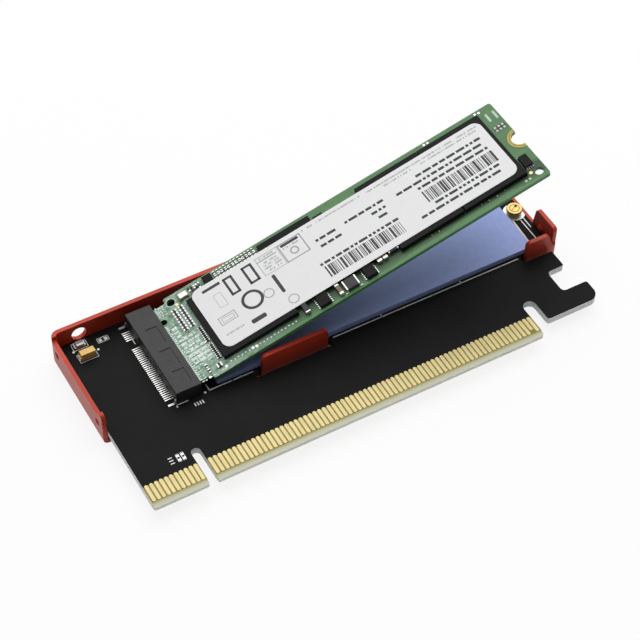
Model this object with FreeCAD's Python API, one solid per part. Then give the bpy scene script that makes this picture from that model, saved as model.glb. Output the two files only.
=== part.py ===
import FreeCAD, Part
import math
import os

V = FreeCAD.Vector

# Storage-drive adapter card: a black edge-connector card with a low socket, in a
# folded red heat tray, with a 22 x 80 storage module sprung up in the socket.
# Millimetres. While the pieces are built, x runs along the edge fingers with the
# first finger at x = 0, y = 0 is the card's bottom edge and z = 0 is the card's
# top face. save() then moves every piece so that the origin lies under the middle
# of the whole object, at the height of the tray's underside.

# ---------------------------------------------------------------- adapter board
BOARD_T = 1.57                  # card thickness, set by the slot it plugs into
BOARD_LEFT = -0.65
BOARD_RIGHT = 97.9              # beside the tray's right flange
BOARD_NECK_RIGHT = 97.0         # between the retention notch and the tab's slot
BOARD_BACK = 42.1               # low-profile card height
KEY_X0, KEY_X1, KEY_TOP = 10.55, 12.45, 8.3
FINGERS_END = 83.65             # end of the plug-in edge
END_SLOT_X1, END_SLOT_TOP = 86.4, 8.5
HOOK_BOTTOM, HOOK_TOP, HOOK_TIP_X = 2.75, 7.4, 98.65
LATCH_X = 92.97
NECK_LENGTH = 4.3               # card's right edge between the latch notch and the tab's slot
BEVEL_Y, BEVEL_Z = 1.2, 0.42    # lead-in bevel on the plug-in edge
CORNER_R = 1.2

# Edge fingers
FINGER_PITCH = 1.0
FINGER_W = 0.7
FINGER_Y0, FINGER_Y1 = 1.22, 5.12
FINGER_T = 0.05
FINGERS_SHORT_SEGMENT = 11      # fingers before the key
FINGERS_AFTER_KEY = 71
FINGER_KEY_STEP = 3.0           # from the last finger before the key to the next
PRESENCE_FINGER = 80            # the short finger near the end
PRESENCE_SHORTER = 0.8

# ------------------------------------------------------------------- heat tray
SHEET_T = 0.85
TRAY_SIDE_GAP = 0.15            # card to left flange
TRAY_BACK_GAP = 0.10            # card to back wall
TRAY_RIGHT_GAP = 0.10           # card to right flange
TRAY_DEPTH_GAP = 1.08           # card underside to tray floor, filled by the rear pad
TAB_TO_MODULE = 0.23            # front tabs' inner faces to the module's front edge
TAB_ROOT = 0.8                  # tabs' inner faces to the tray floor's front edge
BEND_R = 1.2                    # outer bend radius along the floor
CORNER_BEND_R = 1.8             # outer radius of the upright rear corners
FRONT_CORNER_R = 1.4            # outer radius of the upright front corner
WALL_TOP = 4.1                  # back wall above the card's top face
TAB_TOP = 4.5
LEFT_FLANGE_TOP = 3.1
RIGHT_FLANGE_TOP = -0.5
RIGHT_CORNER_TOP = 0.4          # where the right tab runs into the right flange
MID_TAB_X0, MID_TAB_X1 = 31.2, 45.4
RIGHT_TAB_X0, RIGHT_TAB_X1 = 91.1, 96.2
RIGHT_EAR_START, RIGHT_EAR_END = 0.9, 7.25      # measured back from the front tabs' faces
LEFT_EAR_END = 4.05
BACK_HOLE_X, BACK_HOLE_Z, BACK_HOLE_R = 4.2, 1.55, 1.55
DIMPLE_R, DIMPLE_H = 1.0, 0.55                  # pressed bumps that keep the card down
DIMPLE_RECESS_R, DIMPLE_RECESS_H = 0.85, 0.5    # their hollows in the flange's outer face
DIMPLE_CLEAR = 0.02                             # under the bumps, to the card's top face
LEFT_DIMPLE_FRONT, LEFT_DIMPLE_REAR = 3.95, 2.55  # from the front tabs' faces, from the back wall
RIGHT_DIMPLE_FRONT = 5.05
TAB_SLOT_FRONT, TAB_SLOT_BACK = 0.5, 0.4        # tab to the slot's long sides
MID_SLOT_X0, MID_SLOT_X1 = 29.4, 46.5
RIGHT_SLOT_X0 = 90.3

# --------------------------------------------------------------- storage module
MODULE_L = 80.0
MODULE_W = 22.0
MODULE_T = 0.8
MODULE_MARGIN = 1.17            # module's rear edge to the card's rear edge
TONGUE_STEP = 1.075             # shoulder beside the tongue
TONGUE_W = MODULE_W - 2 * TONGUE_STEP
TONGUE_L = 4.0
INSERTION = 1.2                 # tongue inside the socket's mouth while the module is up
MODULE_TILT = 14.53             # degrees, sprung up
MOUTH_X, MOUTH_Z = 18.77, 2.35  # module's top face at the mouth
PAD_PITCH = TONGUE_W / 39.7     # both rows of pads; the key and the socket follow the pitch
PAD_W = 0.7 * PAD_PITCH
PAD_T = 0.03
PAD_START, PAD_END = 0.25, 1.1  # pads, measured from the tongue's tip
PIN_COUNT = 75
KEYED_PINS = range(59, 67)      # positions lost to the key
FIRST_PIN_Y = -18.5 * PAD_PITCH # first pin from the centre line
KEY_OFFSET = 12.25 * PAD_PITCH
KEY_W = 2.4 * PAD_PITCH
KEY_DEPTH = 2.5
MOUNT_NOTCH_R = 1.8
MOUNT_RING_R = 2.75

# ----------------------------------------------------------------------- socket
SOCKET_X0, SOCKET_X1 = 13.38, 18.74
SOCKET_H = 3.2
SOCKET_END_WALL = 0.955
CAVITY_X0 = 16.1
CAVITY_Z0, CAVITY_Z1 = 1.0, 2.5
CAVITY_SIDE_CLEAR = 0.10
SOCKET_LEN = TONGUE_W + 2 * (CAVITY_SIDE_CLEAR + SOCKET_END_WALL)
RIB_CLEAR = 0.1
RIB_BACK = 0.15                 # rib, set back from the mouth
PEG_R, PEG_LEN, PEG_CLEAR = 0.55, 1.3, 0.05
PEG_INSET = 1.2
CONTACT_W = 0.4 * PAD_PITCH
CONTACT_T = 0.1
COMB_W = 0.6 * PAD_PITCH        # open slots for the upper leads in the back wall
COMB_DEPTH = 0.17
UPPER_FOOT_X = 11.75
UPPER_TIP_X = 17.6
LOWER_FOOT_X = 19.7
LOWER_TIP_X = 17.0
LOWER_BEAM_T = 0.08
HOLD_DOWN_X = 11.75             # tips of the soldered feet beside the row of leads
HOLD_DOWN_W, HOLD_DOWN_T = 0.45, 0.15
HOLD_DOWN_INSET = 0.3           # from the housing's end
MOULD_MARKS = ((-7.6, 3.4), (-2.6, 4.4), (3.4, 4.4))    # sunk fields on top: (offset, length)

# ------------------------------------------------------------ pads and standoff
PAD_THICK = 1.2                 # heat-conducting pad on the card
PAD_X0, PAD_X1 = 22.3, 93.7
PAD_INSET = 0.625               # pad inside the module's outline, front and back
REAR_PAD_INSET = 1.0
STANDOFF_X = 96.15
STANDOFF_TOP = 0.75
STANDOFF_R, SHANK_R = 1.5, 1.15
STANDOFF_CLEAR = 0.08
THREAD_R = 0.8
SCREW_HEAD_R, SCREW_HEAD_TOP = 1.65, 1.3
SCREW_THREAD_CLEAR = 0.03
SCREW_LEN = 1.7
DRIVE_L, DRIVE_W, DRIVE_DEPTH = 2.0, 0.5, 0.3
LAND_T = 0.04
LAND_R = 2.3

# ---------------------------------------------------------- parts on the card
CASE_X0, CASE_LENGTH, CASE_WIDTH, CASE_HEIGHT = 2.15, 3.2, 1.6, 1.6     # tantalum capacitor
CASE_TO_BACK = 3.75             # its rear side to the card's rear edge
LED_X0, LED_LENGTH, LED_WIDTH = 2.3, 2.3, 1.3
LED_TO_BACK = 0.8
SOLDER_SPOTS = ((8.07, 7.28), (9.02, 7.28), (8.07, 8.2), (9.02, 8.2))
SOLDER_SPOT_W = 0.5
REAR_LAND_X, REAR_LAND_TO_BACK = (7.5, 8.62), 2.18
REAR_LAND_SIZE = (0.65, 0.8)

# Derived places
MODULE_Y = BOARD_BACK - MODULE_MARGIN - MODULE_W / 2    # centre line of socket, module and standoff
TRAY_FRONT_FACE = MODULE_Y - MODULE_W / 2 - TAB_TO_MODULE - SHEET_T
TRAY_FLOOR_FRONT = TRAY_FRONT_FACE + SHEET_T + TAB_ROOT
PAD_Y0 = MODULE_Y - MODULE_W / 2 + PAD_INSET
PAD_Y1 = MODULE_Y + MODULE_W / 2 - PAD_INSET
tray_in_left = BOARD_LEFT - TRAY_SIDE_GAP
tray_in_right = BOARD_RIGHT + TRAY_RIGHT_GAP
tray_in_back = BOARD_BACK + TRAY_BACK_GAP
tray_floor = -BOARD_T - TRAY_DEPTH_GAP
tray_x0, tray_x1 = tray_in_left - SHEET_T, tray_in_right + SHEET_T
tray_y1 = tray_in_back + SHEET_T
tray_z0 = tray_floor - SHEET_T
slot_y0 = TRAY_FRONT_FACE - TAB_SLOT_FRONT
slot_y1 = TRAY_FRONT_FACE + SHEET_T + TAB_SLOT_BACK
slot_r = (slot_y1 - slot_y0) / 2 - 0.05
latch_top = slot_y0 - NECK_LENGTH
dimple_ball = (DIMPLE_R ** 2 + DIMPLE_H ** 2) / (2 * DIMPLE_H)
recess_ball = (DIMPLE_RECESS_R ** 2 + DIMPLE_RECESS_H ** 2) / (2 * DIMPLE_RECESS_H)
dimple_z = math.sqrt(dimple_ball ** 2 - (dimple_ball - DIMPLE_H + TRAY_RIGHT_GAP) ** 2) + DIMPLE_CLEAR
module_end = MODULE_L - INSERTION
ORIGIN = V((tray_x0 + max(tray_x1, HOOK_TIP_X)) / 2, tray_y1 / 2, tray_z0)

os.makedirs("parts", exist_ok=True)


# ------------------------------------------------------------------ shape tools
def box(x0, x1, y0, y1, z0, z1):
    return Part.makeBox(x1 - x0, y1 - y0, z1 - z0, V(x0, y0, z0))


def centred(x, y, width, depth, z0, z1):
    return box(x - width / 2, x + width / 2, y - depth / 2, y + depth / 2, z0, z1)


def rod(x, y, z0, z1, radius):
    return Part.makeCylinder(radius, z1 - z0, V(x, y, z0))


def rounded_wire(corners, place):
    """Closed outline through corners (a, b, radius), each corner rounded off.

    place turns the outline's (a, b) into a point in space.
    """
    count = len(corners)
    starts, middles, ends = [], [], []
    for i, (a, b, radius) in enumerate(corners):
        before, after = corners[i - 1], corners[(i + 1) % count]
        back = V(before[0] - a, before[1] - b, 0).normalize()
        ahead = V(after[0] - a, after[1] - b, 0).normalize()
        half = back.getAngle(ahead) / 2
        point = V(a, b, 0)
        if radius <= 0:
            starts.append(point)
            middles.append(None)
            ends.append(point)
            continue
        run = radius / math.tan(half)
        bisector = (back + ahead).normalize()
        centre = point + bisector * (radius / math.sin(half))
        starts.append(point + back * run)
        middles.append(centre - bisector * radius)
        ends.append(point + ahead * run)
    edges = []
    for i in range(count):
        if middles[i] is not None:
            edges.append(Part.Arc(place(starts[i]), place(middles[i]), place(ends[i])).toShape())
        next_start = starts[(i + 1) % count]
        if ends[i].distanceToPoint(next_start) > 1e-6:
            edges.append(Part.makeLine(place(ends[i]), place(next_start)))
    return Part.Wire(edges)


def plate(corners, z0, z1):
    """Flat plate with a rounded outline in x and y."""
    wire = rounded_wire(corners, lambda p: V(p.x, p.y, z0))
    return Part.Face(wire).extrude(V(0, 0, z1 - z0))


def bar_along_x(corners, x0, x1):
    """Bar along x; the outline's corners are (y, z, radius)."""
    wire = rounded_wire(corners, lambda p: V(x0, p.x, p.y))
    return Part.Face(wire).extrude(V(x1 - x0, 0, 0))


def bar_along_y(corners, y0, y1):
    """Bar along y; the outline's corners are (x, z, radius)."""
    wire = rounded_wire(corners, lambda p: V(p.x, y0, p.y))
    return Part.Face(wire).extrude(V(0, y1 - y0, 0))


def flat_wire(x0, x1, y0, y1, z):
    corners = [V(x0, y0, z), V(x1, y0, z), V(x1, y1, z), V(x0, y1, z), V(x0, y0, z)]
    return Part.makePolygon(corners)


def rounded_slot(x0, x1, y0, y1, radius, z0, z1):
    corners = [(x0, y0, radius), (x1, y0, radius), (x1, y1, radius), (x0, y1, radius)]
    return plate(corners, z0, z1)


def solids_of(shape):
    return shape.Solids if hasattr(shape, "Solids") and shape.Solids else [shape]


def save(node, *shapes):
    """Write one named sub-part; several solids stay separate in one group."""
    solids = [solid.copy() for shape in shapes for solid in solids_of(shape)]
    for solid in solids:
        solid.translate(ORIGIN * -1)
    whole = solids[0] if len(solids) == 1 else Part.makeCompound(solids)
    whole.exportStep("parts/%s.step" % node)


def tilt(shape):
    """Stand a module piece up to its sprung angle in the socket's mouth."""
    piece = shape.copy()
    piece.rotate(V(0, 0, 0), V(0, 1, 0), -MODULE_TILT)
    piece.translate(V(MOUTH_X, MODULE_Y, MOUTH_Z))
    return piece


def save_on_module(node, *shapes):
    save(node, *[tilt(solid) for shape in shapes for solid in solids_of(shape)])


def chip(x0, x1, y0, y1, height, end, along_y=False, base=0.0):
    """A chip part: its body and its two metal ends, as separate solids."""
    if along_y:
        body = box(x0, x1, y0 + end, y1 - end, base, base + height)
        ends = [box(x0, x1, y0, y0 + end, base, base + height),
                box(x0, x1, y1 - end, y1, base, base + height)]
    else:
        body = box(x0 + end, x1 - end, y0, y1, base, base + height)
        ends = [box(x0, x0 + end, y0, y1, base, base + height),
                box(x1 - end, x1, y0, y1, base, base + height)]
    return body, ends


# ---------------------------------------------------------------- adapter board
def adapter_board():
    key_r = (KEY_X1 - KEY_X0) / 2 - 0.02
    slot_end_r = (END_SLOT_X1 - FINGERS_END) / 2 - 0.05
    latch_r = 0.16 * (latch_top - HOOK_TOP)
    outline = [
        (BOARD_LEFT, 0, 0.5),
        (KEY_X0, 0, 0.3), (KEY_X0, KEY_TOP, key_r), (KEY_X1, KEY_TOP, key_r), (KEY_X1, 0, 0.3),
        (FINGERS_END, 0, 0.5), (FINGERS_END, END_SLOT_TOP, slot_end_r),
        (END_SLOT_X1, END_SLOT_TOP, slot_end_r), (END_SLOT_X1, HOOK_BOTTOM, 0.6),
        (HOOK_TIP_X, HOOK_BOTTOM, 2.2), (HOOK_TIP_X, HOOK_TOP, 0.5),
        (LATCH_X, HOOK_TOP, latch_r), (LATCH_X, latch_top, latch_r),
        (BOARD_NECK_RIGHT, latch_top, 0.4), (BOARD_NECK_RIGHT, slot_y0, 0.3),
        (RIGHT_SLOT_X0, slot_y0, slot_r), (RIGHT_SLOT_X0, slot_y1, slot_r),
        (BOARD_RIGHT, slot_y1, 0.3),
        (BOARD_RIGHT, BOARD_BACK, CORNER_R), (BOARD_LEFT, BOARD_BACK, CORNER_R),
    ]
    board = plate(outline, -BOARD_T, 0)
    slot = rounded_slot(MID_SLOT_X0, MID_SLOT_X1, slot_y0, slot_y1, slot_r, -BOARD_T - 1, 1)
    hole = rod(STANDOFF_X, MODULE_Y, -BOARD_T - 1, 1, SHANK_R + STANDOFF_CLEAR)
    cutters = [slot, hole]
    for x, y in peg_places():
        cutters.append(rod(x, y, -BOARD_T - 1, 1, PEG_R + PEG_CLEAR))
    for face, out in ((0, 1), (-BOARD_T, -1)):
        wedge = [(-1, face - out * BEVEL_Z * (1 + 1 / BEVEL_Y), 0), (BEVEL_Y, face, 0),
                 (BEVEL_Y, face + out, 0), (-1, face + out, 0)]
        cutters.append(bar_along_x(wedge, BOARD_LEFT - 1, FINGERS_END + 0.5))
    return board.cut(cutters)


def finger_places():
    before = [i * FINGER_PITCH for i in range(FINGERS_SHORT_SEGMENT)]
    first = before[-1] + FINGER_KEY_STEP
    return before + [first + i * FINGER_PITCH for i in range(FINGERS_AFTER_KEY)]


def edge_fingers(z0, z1):
    fingers = []
    for index, x in enumerate(finger_places()):
        bottom = FINGER_Y0 + (PRESENCE_SHORTER if index == PRESENCE_FINGER else 0)
        fingers.append(box(x - FINGER_W / 2, x + FINGER_W / 2, bottom, FINGER_Y1, z0, z1))
    return fingers


def board_lands():
    """Bare plated copper: the ring under the standoff and the open solder pads."""
    ring = rod(STANDOFF_X, MODULE_Y, 0, LAND_T, LAND_R)
    ring = ring.cut(rod(STANDOFF_X, MODULE_Y, -1, 1, SHANK_R + STANDOFF_CLEAR))
    lands = [ring.common(box(0, BOARD_RIGHT - 0.08, 0, BOARD_BACK, 0, LAND_T))]
    for x, y in SOLDER_SPOTS:
        lands.append(centred(x, y, SOLDER_SPOT_W, SOLDER_SPOT_W, 0, LAND_T))
    for x in REAR_LAND_X:
        lands.append(centred(x, BOARD_BACK - REAR_LAND_TO_BACK, *REAR_LAND_SIZE, 0, LAND_T))
    return lands


# -------------------------------------------------------------------- heat tray
def upright_edges(shape, places):
    """Edges that stand along z at the given (x, y) places."""
    found = []
    for edge in shape.Edges:
        mid = edge.CenterOfMass
        if abs(edge.BoundBox.ZLength - edge.Length) > 1e-6:
            continue
        if any(abs(mid.x - x) < 1e-4 and abs(mid.y - y) < 1e-4 for x, y in places):
            found.append(edge)
    return found


def tray_block(inset, top):
    """The tray's block: its outside for inset 0, its hollow for inset SHEET_T."""
    x0, x1 = tray_x0 + inset, tray_x1 - inset
    y0, y1 = TRAY_FRONT_FACE + inset, tray_y1 - inset
    z0 = tray_z0 + inset
    block = box(x0, x1, y0, y1, z0, top)
    block = block.makeFillet(CORNER_BEND_R - inset, upright_edges(block, [(x0, y1), (x1, y1)]))
    block = block.makeFillet(FRONT_CORNER_R - inset, upright_edges(block, [(x0, y0), (x1, y0)]))
    floor_edges = [e for e in block.Edges if e.BoundBox.ZMax < z0 + 1e-4]
    return block.makeFillet(BEND_R - inset, floor_edges)


def heat_tray():
    high = TAB_TOP + 1.0
    low = tray_z0 - 1.0
    above_bend = tray_z0 + BEND_R
    wall_end = tray_y1 - CORNER_BEND_R + 0.45
    tray = tray_block(0.0, high).cut(tray_block(SHEET_T, high + 1))

    mid_tab = bar_along_y([(MID_TAB_X0, low, 0), (MID_TAB_X0, TAB_TOP, 1.0),
                           (MID_TAB_X1, TAB_TOP, 1.0), (MID_TAB_X1, low, 0)],
                          TRAY_FRONT_FACE - 1, TRAY_FLOOR_FRONT)
    corner_top = RIGHT_CORNER_TOP
    right_tab = bar_along_y([(RIGHT_TAB_X0, low, 0), (RIGHT_TAB_X0, TAB_TOP, 0.9),
                             (RIGHT_TAB_X1, TAB_TOP, 0.9), (tray_in_right - 0.4, corner_top, 0.5),
                             (tray_x1 + 1, corner_top, 0), (tray_x1 + 1, low, 0)],
                            TRAY_FRONT_FACE - 1, TRAY_FLOOR_FRONT)
    front = box(tray_x0 - 1, tray_in_right - 0.05, TRAY_FRONT_FACE - 1, TRAY_FLOOR_FRONT, low, high)
    front = front.cut([mid_tab, right_tab])

    left_ear = TRAY_FRONT_FACE + LEFT_EAR_END
    left_edge = bar_along_x([(TRAY_FLOOR_FRONT, low, 0), (TRAY_FLOOR_FRONT, TAB_TOP, 0.9),
                             (left_ear - 0.9, TAB_TOP, 0.7), (left_ear, LEFT_FLANGE_TOP, 0.8),
                             (wall_end, LEFT_FLANGE_TOP, 0), (wall_end, low, 0)],
                            tray_x0 - 1, tray_in_left + 1)
    left = box(tray_x0 - 1, tray_in_left + 1, TRAY_FLOOR_FRONT - 0.01, wall_end, above_bend, high)
    left = left.cut(left_edge)

    ear_y0, ear_y1 = TRAY_FRONT_FACE + RIGHT_EAR_START, TRAY_FRONT_FACE + RIGHT_EAR_END
    right_edge = bar_along_x([(TRAY_FRONT_FACE - 1, low, 0), (TRAY_FRONT_FACE - 1, corner_top, 0),
                              (ear_y0, corner_top, 0.3), (ear_y0, TAB_TOP, 0.9),
                              (ear_y1, TAB_TOP, 0.9), (ear_y1 + 0.8, RIGHT_FLANGE_TOP, 0.5),
                              (wall_end, RIGHT_FLANGE_TOP, 0), (wall_end, low, 0)],
                             tray_in_right - 0.05, tray_x1 + 1)
    right = box(tray_in_right - 0.05, tray_x1 + 1, TRAY_FRONT_FACE - 1, wall_end, above_bend, high)
    right = right.cut(right_edge)

    back = box(tray_x0 - 1, tray_x1 + 1, wall_end, tray_y1 + 1, WALL_TOP, high)
    hole = Part.makeCylinder(BACK_HOLE_R, 3 * SHEET_T, V(BACK_HOLE_X, tray_in_back - SHEET_T, BACK_HOLE_Z),
                             V(0, 1, 0))
    tray = tray.cut([front, left, right, back, hole])
    for flange_in, inward, y in dimple_places():
        tray = dimple(tray, flange_in, inward, y)
    return tray


def dimple_places():
    """Inner face of the flange, direction into the tray, and y of each pressed bump."""
    return [(tray_in_left, 1, TRAY_FRONT_FACE + LEFT_DIMPLE_FRONT),
            (tray_in_left, 1, tray_in_back - LEFT_DIMPLE_REAR),
            (tray_in_right, -1, TRAY_FRONT_FACE + RIGHT_DIMPLE_FRONT)]


def dimple(tray, flange_in, inward, y):
    """Round bump pressed into a side flange from outside, just above the card."""
    bump = Part.makeSphere(dimple_ball, V(flange_in - inward * (dimple_ball - DIMPLE_H), y, dimple_z))
    half_sheet = flange_in - inward * SHEET_T / 2
    far = flange_in + inward * 2 * DIMPLE_H
    bump = bump.common(box(min(half_sheet, far), max(half_sheet, far), y - 2, y + 2,
                           dimple_z - 2, dimple_z + 2))
    flange_out = flange_in - inward * SHEET_T
    ball = V(flange_out - inward * (recess_ball - DIMPLE_RECESS_H), y, dimple_z)
    return tray.fuse(bump).cut(Part.makeSphere(recess_ball, ball))


# --------------------------------------------------------- pads and standoff
def thermal_pad():
    corners = [(PAD_X0, PAD_Y0, 0.4), (PAD_X1, PAD_Y0, 0.4), (PAD_X1, PAD_Y1, 0.4),
               (PAD_X0, PAD_Y1, 0.4)]
    return plate(corners, 0, PAD_THICK)


def rear_thermal_pad():
    x0, x1 = PAD_X0 + REAR_PAD_INSET, PAD_X1 - REAR_PAD_INSET
    y0, y1 = TRAY_FLOOR_FRONT + REAR_PAD_INSET, tray_in_back - REAR_PAD_INSET
    corners = [(x0, y0, 0.4), (x1, y0, 0.4), (x1, y1, 0.4), (x0, y1, 0.4)]
    return plate(corners, tray_floor, -BOARD_T)


def standoff():
    shank = rod(STANDOFF_X, MODULE_Y, -BOARD_T, LAND_T, SHANK_R)
    post = rod(STANDOFF_X, MODULE_Y, LAND_T, STANDOFF_TOP, STANDOFF_R)
    thread = rod(STANDOFF_X, MODULE_Y, -BOARD_T - 1, STANDOFF_TOP + 1, THREAD_R)
    return shank.fuse(post).cut(thread)


def standoff_screw():
    head = rod(STANDOFF_X, MODULE_Y, STANDOFF_TOP, SCREW_HEAD_TOP, SCREW_HEAD_R)
    rim = [e for e in head.Edges if e.BoundBox.ZMin > SCREW_HEAD_TOP - 1e-4]
    head = head.makeChamfer(0.12, rim)
    end = STANDOFF_TOP - SCREW_LEN
    stem = rod(STANDOFF_X, MODULE_Y, end, STANDOFF_TOP + 0.1, THREAD_R - SCREW_THREAD_CLEAR)
    drive = centred(STANDOFF_X, MODULE_Y, DRIVE_L, DRIVE_W, SCREW_HEAD_TOP - DRIVE_DEPTH, SCREW_HEAD_TOP + 1)
    drive.rotate(V(STANDOFF_X, MODULE_Y, 0), V(0, 0, 1), 35)
    return head.fuse(stem).cut(drive)


# ---------------------------------------------------------------------- socket
def pin_y(pin):
    return MODULE_Y + FIRST_PIN_Y + (pin - 1) / 2 * PAD_PITCH


def pins(first):
    return [pin for pin in range(first, PIN_COUNT + 1, 2) if pin not in KEYED_PINS]


def peg_places():
    x = (SOCKET_X0 + SOCKET_X1) / 2
    return [(x, MODULE_Y + side * (SOCKET_LEN / 2 - PEG_INSET)) for side in (-1, 1)]


def contact_row(profile, first):
    half = CONTACT_W / 2
    return [bar_along_y(profile, pin_y(pin) - half, pin_y(pin) + half) for pin in pins(first)]


def upper_contacts():
    """Foot on the card, riser in the back wall's comb, beam under the cavity's roof."""
    inner = SOCKET_X0 + COMB_DEPTH
    outer = inner - CONTACT_T
    under = CAVITY_Z1 - CONTACT_T
    return contact_row([(UPPER_FOOT_X, 0, 0), (inner, 0, 0), (inner, under, 0),
                        (UPPER_TIP_X, under, 0), (UPPER_TIP_X, CAVITY_Z1, 0),
                        (outer, CAVITY_Z1, 0), (outer, CONTACT_T, 0), (UPPER_FOOT_X, CONTACT_T, 0)], 1)


def lower_contacts():
    """Foot on the card in front of the mouth, riser in the lip, beam on the cavity's floor."""
    inner = SOCKET_X1 - CONTACT_T
    top = CAVITY_Z0 + LOWER_BEAM_T
    return contact_row([(inner, 0, 0), (LOWER_FOOT_X, 0, 0), (LOWER_FOOT_X, CONTACT_T, 0),
                        (SOCKET_X1, CONTACT_T, 0), (SOCKET_X1, top, 0), (LOWER_TIP_X, top, 0),
                        (LOWER_TIP_X, CAVITY_Z0, 0), (inner, CAVITY_Z0, 0)], 2)


def socket_housing():
    y0, y1 = MODULE_Y - SOCKET_LEN / 2, MODULE_Y + SOCKET_LEN / 2
    half_cavity = TONGUE_W / 2 + CAVITY_SIDE_CLEAR
    body = bar_along_y([(SOCKET_X0, 0, 0), (SOCKET_X1, 0, 0), (SOCKET_X1, SOCKET_H, 0.15),
                        (SOCKET_X0, SOCKET_H, 0.15)], y0, y1)
    cutters = [box(CAVITY_X0, SOCKET_X1 + 1, MODULE_Y - half_cavity, MODULE_Y + half_cavity,
                   CAVITY_Z0, CAVITY_Z1)]
    rib = box(CAVITY_X0 - 0.1, SOCKET_X1 - RIB_BACK, MODULE_Y + KEY_OFFSET - KEY_W / 2 + RIB_CLEAR,
              MODULE_Y + KEY_OFFSET + KEY_W / 2 - RIB_CLEAR, CAVITY_Z0 - 0.1, CAVITY_Z1 + 0.1)
    recess_top = SOCKET_H - 0.12
    for offset, length in MOULD_MARKS:
        cutters.append(centred(SOCKET_X0 + 2.9, MODULE_Y + offset, 2.4, length, recess_top, SOCKET_H + 1))
    for pin in pins(1):
        y = pin_y(pin)
        cutters.append(box(SOCKET_X0 - 1, SOCKET_X0 + COMB_DEPTH, y - COMB_W / 2, y + COMB_W / 2,
                           -1, CAVITY_Z1))
        cutters.append(box(SOCKET_X0, CAVITY_X0 + 0.1, y - CONTACT_W / 2, y + CONTACT_W / 2,
                           CAVITY_Z1 - CONTACT_T, CAVITY_Z1))
    for pin in pins(2):
        y = pin_y(pin)
        cutters.append(box(SOCKET_X1 - CONTACT_T, SOCKET_X1 + 1, y - CONTACT_W / 2, y + CONTACT_W / 2,
                           -1, CAVITY_Z0 + 0.1))
    pegs = [rod(x, y, -PEG_LEN, 0.2, PEG_R) for x, y in peg_places()]
    return body.cut(cutters).fuse([rib] + pegs).removeSplitter()


def socket_hold_downs():
    """A soldered steel foot at each end of the row of leads."""
    profile = [(HOLD_DOWN_X, 0, 0), (SOCKET_X0, 0, 0), (SOCKET_X0, 1.1, 0),
               (SOCKET_X0 - HOLD_DOWN_T, 1.1, 0), (SOCKET_X0 - HOLD_DOWN_T - 0.3, HOLD_DOWN_T, 0),
               (HOLD_DOWN_X, HOLD_DOWN_T, 0)]
    feet = []
    for side in (-1, 1):
        y = MODULE_Y + side * (SOCKET_LEN / 2 - HOLD_DOWN_INSET)
        feet.append(bar_along_y(profile, y - HOLD_DOWN_W / 2, y + HOLD_DOWN_W / 2))
    return feet


# --------------------------------------------------------- parts on the card
def tantalum_capacitor():
    """Moulded case-A body, wider at its parting line than on top, and two ends."""
    x0, x1, height = CASE_X0, CASE_X0 + CASE_LENGTH, CASE_HEIGHT
    y1 = BOARD_BACK - CASE_TO_BACK
    y0 = y1 - CASE_WIDTH
    draft, parting = 0.14, 0.45 * height
    lower = box(x0, x1, y0, y1, 0.05, parting)
    upper = Part.makeLoft([flat_wire(x0, x1, y0, y1, parting),
                           flat_wire(x0 + draft, x1 - draft, y0 + draft, y1 - draft, height)], True)
    ends = []
    for face, out in ((x0, -1), (x1, 1)):
        corners = [(face - out * 0.5, 0, 0), (face + out * 0.35, 0, 0), (face + out * 0.35, 0.05, 0),
                   (face + out * 0.1, 0.2, 0), (face + out * 0.1, 0.65, 0), (face, 0.65, 0),
                   (face, 0.05, 0), (face - out * 0.5, 0.05, 0)]
        ends.append(bar_along_y(corners, y0 + 0.2, y1 - 0.2))
    return lower.fuse(upper), ends


def status_led():
    x0, x1 = LED_X0, LED_X0 + LED_LENGTH
    y1 = BOARD_BACK - LED_TO_BACK
    y0 = y1 - LED_WIDTH
    carrier = box(x0 + 0.25, x1 - 0.25, y0, y1, 0, 0.3)
    lens = box(x0 + 0.4, x1 - 0.4, y0 + 0.05, y1 - 0.05, 0.3, 0.75)
    ends = [box(x0, x0 + 0.25, y0 + 0.1, y1 - 0.1, 0, 0.3),
            box(x1 - 0.25, x1, y0 + 0.1, y1 - 0.1, 0, 0.3)]
    return carrier.fuse(lens), ends


# ---------------------------------------------------------------------- module
def front(distance):
    """Place across the module, measured in from its front edge."""
    return -MODULE_W / 2 + distance


def rear(distance):
    """Place across the module, measured in from its rear edge."""
    return MODULE_W / 2 - distance


def ssd_board():
    half, tongue = MODULE_W / 2, TONGUE_W / 2
    tip, shoulder = -INSERTION, TONGUE_L - INSERTION
    outline = [(tip, -tongue, 0.3), (shoulder, -tongue, 0.3), (shoulder, -half, 0.4),
               (module_end, -half, 0.6), (module_end, half, 0.6), (shoulder, half, 0.4),
               (shoulder, tongue, 0.3), (tip, tongue, 0.3)]
    board = plate(outline, -MODULE_T, 0)
    key_r = KEY_W / 2 - 0.02
    key = [(tip - 1, KEY_OFFSET - KEY_W / 2, 0), (tip + KEY_DEPTH, KEY_OFFSET - KEY_W / 2, key_r),
           (tip + KEY_DEPTH, KEY_OFFSET + KEY_W / 2, key_r), (tip - 1, KEY_OFFSET + KEY_W / 2, 0)]
    cutters = [plate(key, -MODULE_T - 1, 1), rod(module_end, 0, -MODULE_T - 1, 1, MOUNT_NOTCH_R)]
    for x, y, radius in MODULE_HOLES:
        cutters.append(rod(x, y, -MODULE_T - 1, 1, radius))
    return board.cut(cutters)


def ssd_pads(first, z0, z1):
    x0, x1 = -INSERTION + PAD_START, -INSERTION + PAD_END
    pads = []
    for pin in pins(first):
        y = FIRST_PIN_Y + (pin - 1) / 2 * PAD_PITCH
        pads.append(box(x0, x1, y - PAD_W / 2, y + PAD_W / 2, z0, z1))
    return pads


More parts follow.
